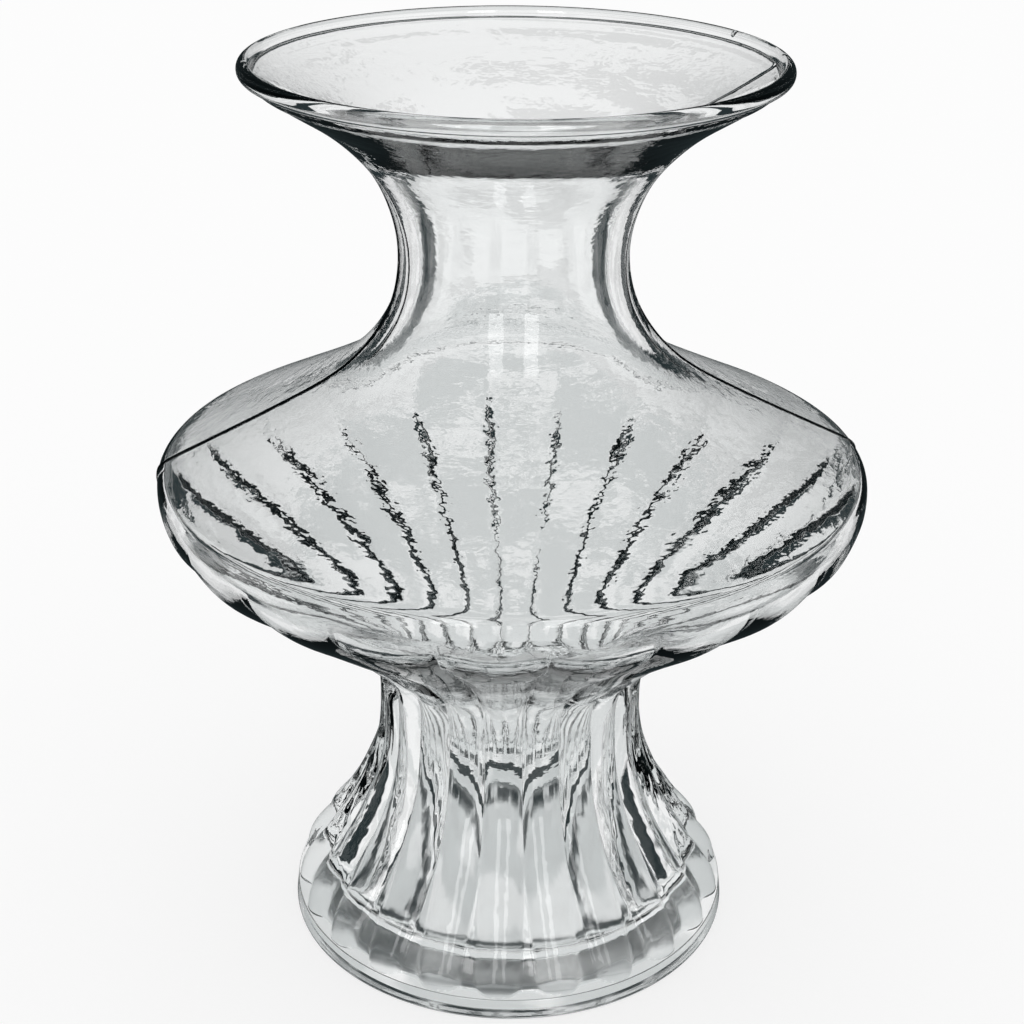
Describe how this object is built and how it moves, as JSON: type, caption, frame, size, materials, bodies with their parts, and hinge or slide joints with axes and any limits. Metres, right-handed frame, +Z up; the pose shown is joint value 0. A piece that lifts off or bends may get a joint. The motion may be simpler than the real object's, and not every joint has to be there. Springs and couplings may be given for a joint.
{
  "type": "vase",
  "caption": "Footed clear glass vase with a flared mouth, narrow neck, wide ribbed bowl and fluted foot, hollow from mouth to foot, that holds cut flowers in water",
  "frame": {"origin": "centre of the standing ring, on the surface that the vase stands on", "axes": "+Z up along the vase's axis, -Y towards the viewer of the picture"},
  "size_m": [0.2304, 0.2304, 0.3],
  "materials": {
    "clear_glass": "mould-blown clear soda-lime glass with a faint grey-green tint, fire-polished and slightly rippled"
  },
  "bodies": {
    "root": {"base_plate": "clear_glass", "fluted_foot": "clear_glass", "waist_stem": "clear_glass", "ribbed_bowl": "clear_glass", "belly_band": "clear_glass", "shoulder": "clear_glass", "neck": "clear_glass", "flare": "clear_glass", "lip_ring": "clear_glass"}
  },
  "joints": []
}
